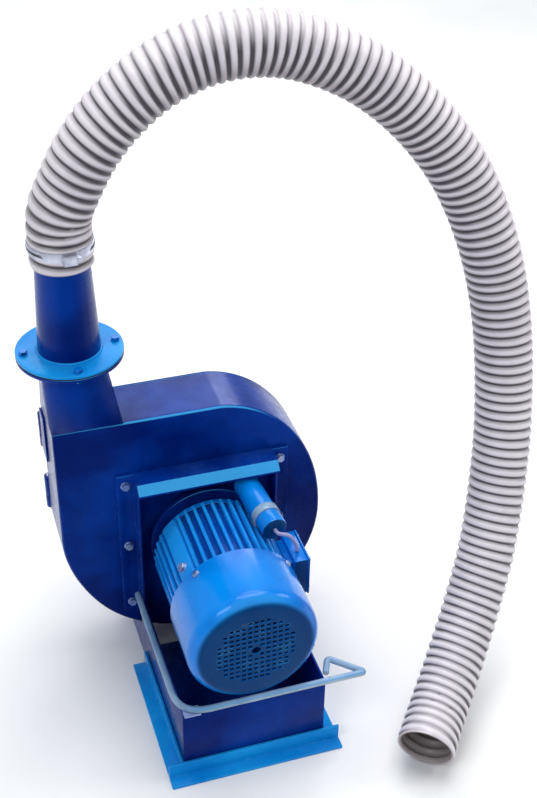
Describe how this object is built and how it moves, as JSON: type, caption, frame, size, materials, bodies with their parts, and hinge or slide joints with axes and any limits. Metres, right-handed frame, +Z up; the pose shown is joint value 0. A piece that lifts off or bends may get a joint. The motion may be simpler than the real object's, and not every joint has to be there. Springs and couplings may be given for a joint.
{
  "type": "hammer mill",
  "caption": "Small motor-driven hammer mill: blue scroll casing on a box base, blower outlet with a ribbed discharge hose, rear feed door.",
  "frame": {"origin": "centre of the machine's footprint on the ground, the free hose left out", "axes": "+Z up; the motor and its fan cowl point to -Y, the feed door is on the +Y side, +X is to the right seen from the motor"},
  "size_m": [0.6749, 0.5821, 0.9303],
  "materials": {
    "casing_blue": "gloss",
    "motor_blue": "gloss",
    "steel": "satin",
    "cast_iron": "matte",
    "rubber": "matte",
    "hose_plastic": "satin",
    "black_plastic": "satin"
  },
  "bodies": {
    "root": {"scroll_wrapper": "casing_blue", "scroll_front_plate": "casing_blue", "scroll_back_plate": "casing_blue", "outlet_transition": "casing_blue", "lower_outlet_flange": "casing_blue", "upper_outlet_flange": "casing_blue", "taper_pipe": "casing_blue", "motor_mount_frame": "casing_blue", "upper_hinge_bracket": "casing_blue", "lower_hinge_bracket": "casing_blue", "base_front_wall": "casing_blue", "base_left_wall": "casing_blue", "base_right_wall": "casing_blue", "base_rear_wall": "casing_blue", "front_foot_angle": "casing_blue", "left_foot_angle": "casing_blue", "right_foot_angle": "casing_blue", "bar_handle": "casing_blue", "drive_end_shield": "motor_blue", "finned_motor_frame": "motor_blue", "rear_motor_shield": "motor_blue", "fan_cowl": "motor_blue", "terminal_box": "motor_blue", "terminal_box_lid": "motor_blue", "capacitor": "motor_blue", "screen_ring": "steel", "hose_clamp_band": "steel", "front_bearing": "steel", "rear_bearing": "steel", "capacitor_bracket": "steel", "upper_hinge_pin": "steel", "lower_hinge_pin": "steel", "stator_core": "cast_iron", "outlet_gasket": "rubber", "discharge_hose": "hose_plastic", "hose_cuff": "hose_plastic", "cable_gland": "black_plastic", "capacitor_lead": "black_plastic"},
    "rotor": {"motor_shaft": "steel", "rotor_core": "cast_iron", "cooling_fan": "black_plastic", "blower_impeller": "cast_iron", "rotor_end_ring": "cast_iron", "hammer_pin_1": "steel", "hammer_pin_2": "steel", "hammer_pin_3": "steel", "hammer_pin_4": "steel"},
    "hammer_1": {"hammer_1": "cast_iron"},
    "hammer_2": {"hammer_2": "cast_iron"},
    "hammer_3": {"hammer_3": "cast_iron"},
    "hammer_4": {"hammer_4": "cast_iron"},
    "door": {"rear_door": "casing_blue", "upper_hinge_strap": "casing_blue", "lower_hinge_strap": "casing_blue", "inlet_chute": "casing_blue", "feed_hopper": "casing_blue"},
    "upper_knob": {"door_knob_1": "black_plastic"},
    "lower_knob": {"door_knob_2": "black_plastic"},
    "gate": {"slide_gate": "steel"},
    "clamp_screw": {"hose_clamp_screw": "steel"}
  },
  "joints": [
    {"name": "rotor_spin", "type": "hinge", "parent": "root", "child": "rotor", "pos_m": [0.0285, 0.01935, 0.207], "axis": [0, 1, 0], "continuous": true},
    {"name": "hammer_1_swing", "type": "hinge", "parent": "rotor", "child": "hammer_1", "pos_m": [0.078, 0.07535, 0.2565], "axis": [0, -1, 0], "range_deg": [-15, 285]},
    {"name": "hammer_2_swing", "type": "hinge", "parent": "rotor", "child": "hammer_2", "pos_m": [-0.021, 0.07535, 0.2565], "axis": [0, -1, 0], "range_deg": [-285, 15]},
    {"name": "hammer_3_swing", "type": "hinge", "parent": "rotor", "child": "hammer_3", "pos_m": [-0.021, 0.07535, 0.1575], "axis": [0, -1, 0], "range_deg": [-195, 105]},
    {"name": "hammer_4_swing", "type": "hinge", "parent": "rotor", "child": "hammer_4", "pos_m": [0.078, 0.07535, 0.1575], "axis": [0, -1, 0], "range_deg": [-105, 195]},
    {"name": "door_hinge", "type": "hinge", "parent": "root", "child": "door", "pos_m": [-0.1685, 0.11835, 0.307], "axis": [0, 0, 1], "range_deg": [0, 110]},
    {"name": "upper_knob_turn", "type": "hinge", "parent": "door", "child": "upper_knob", "pos_m": [0.15581, 0.11935, 0.2805], "axis": [0, 1, 0], "continuous": true},
    {"name": "lower_knob_turn", "type": "hinge", "parent": "door", "child": "lower_knob", "pos_m": [0.15581, 0.11935, 0.1335], "axis": [0, 1, 0], "continuous": true},
    {"name": "gate_slide", "type": "slide", "parent": "door", "child": "gate", "axis": [0, 1, 0], "range_m": [0, 0.078]},
    {"name": "clamp_screw_turn", "type": "hinge", "parent": "root", "child": "clamp_screw", "pos_m": [-0.12829, 0.01746, 0.663], "axis": [0.9976, 0.0698, 0], "continuous": true}
  ]
}
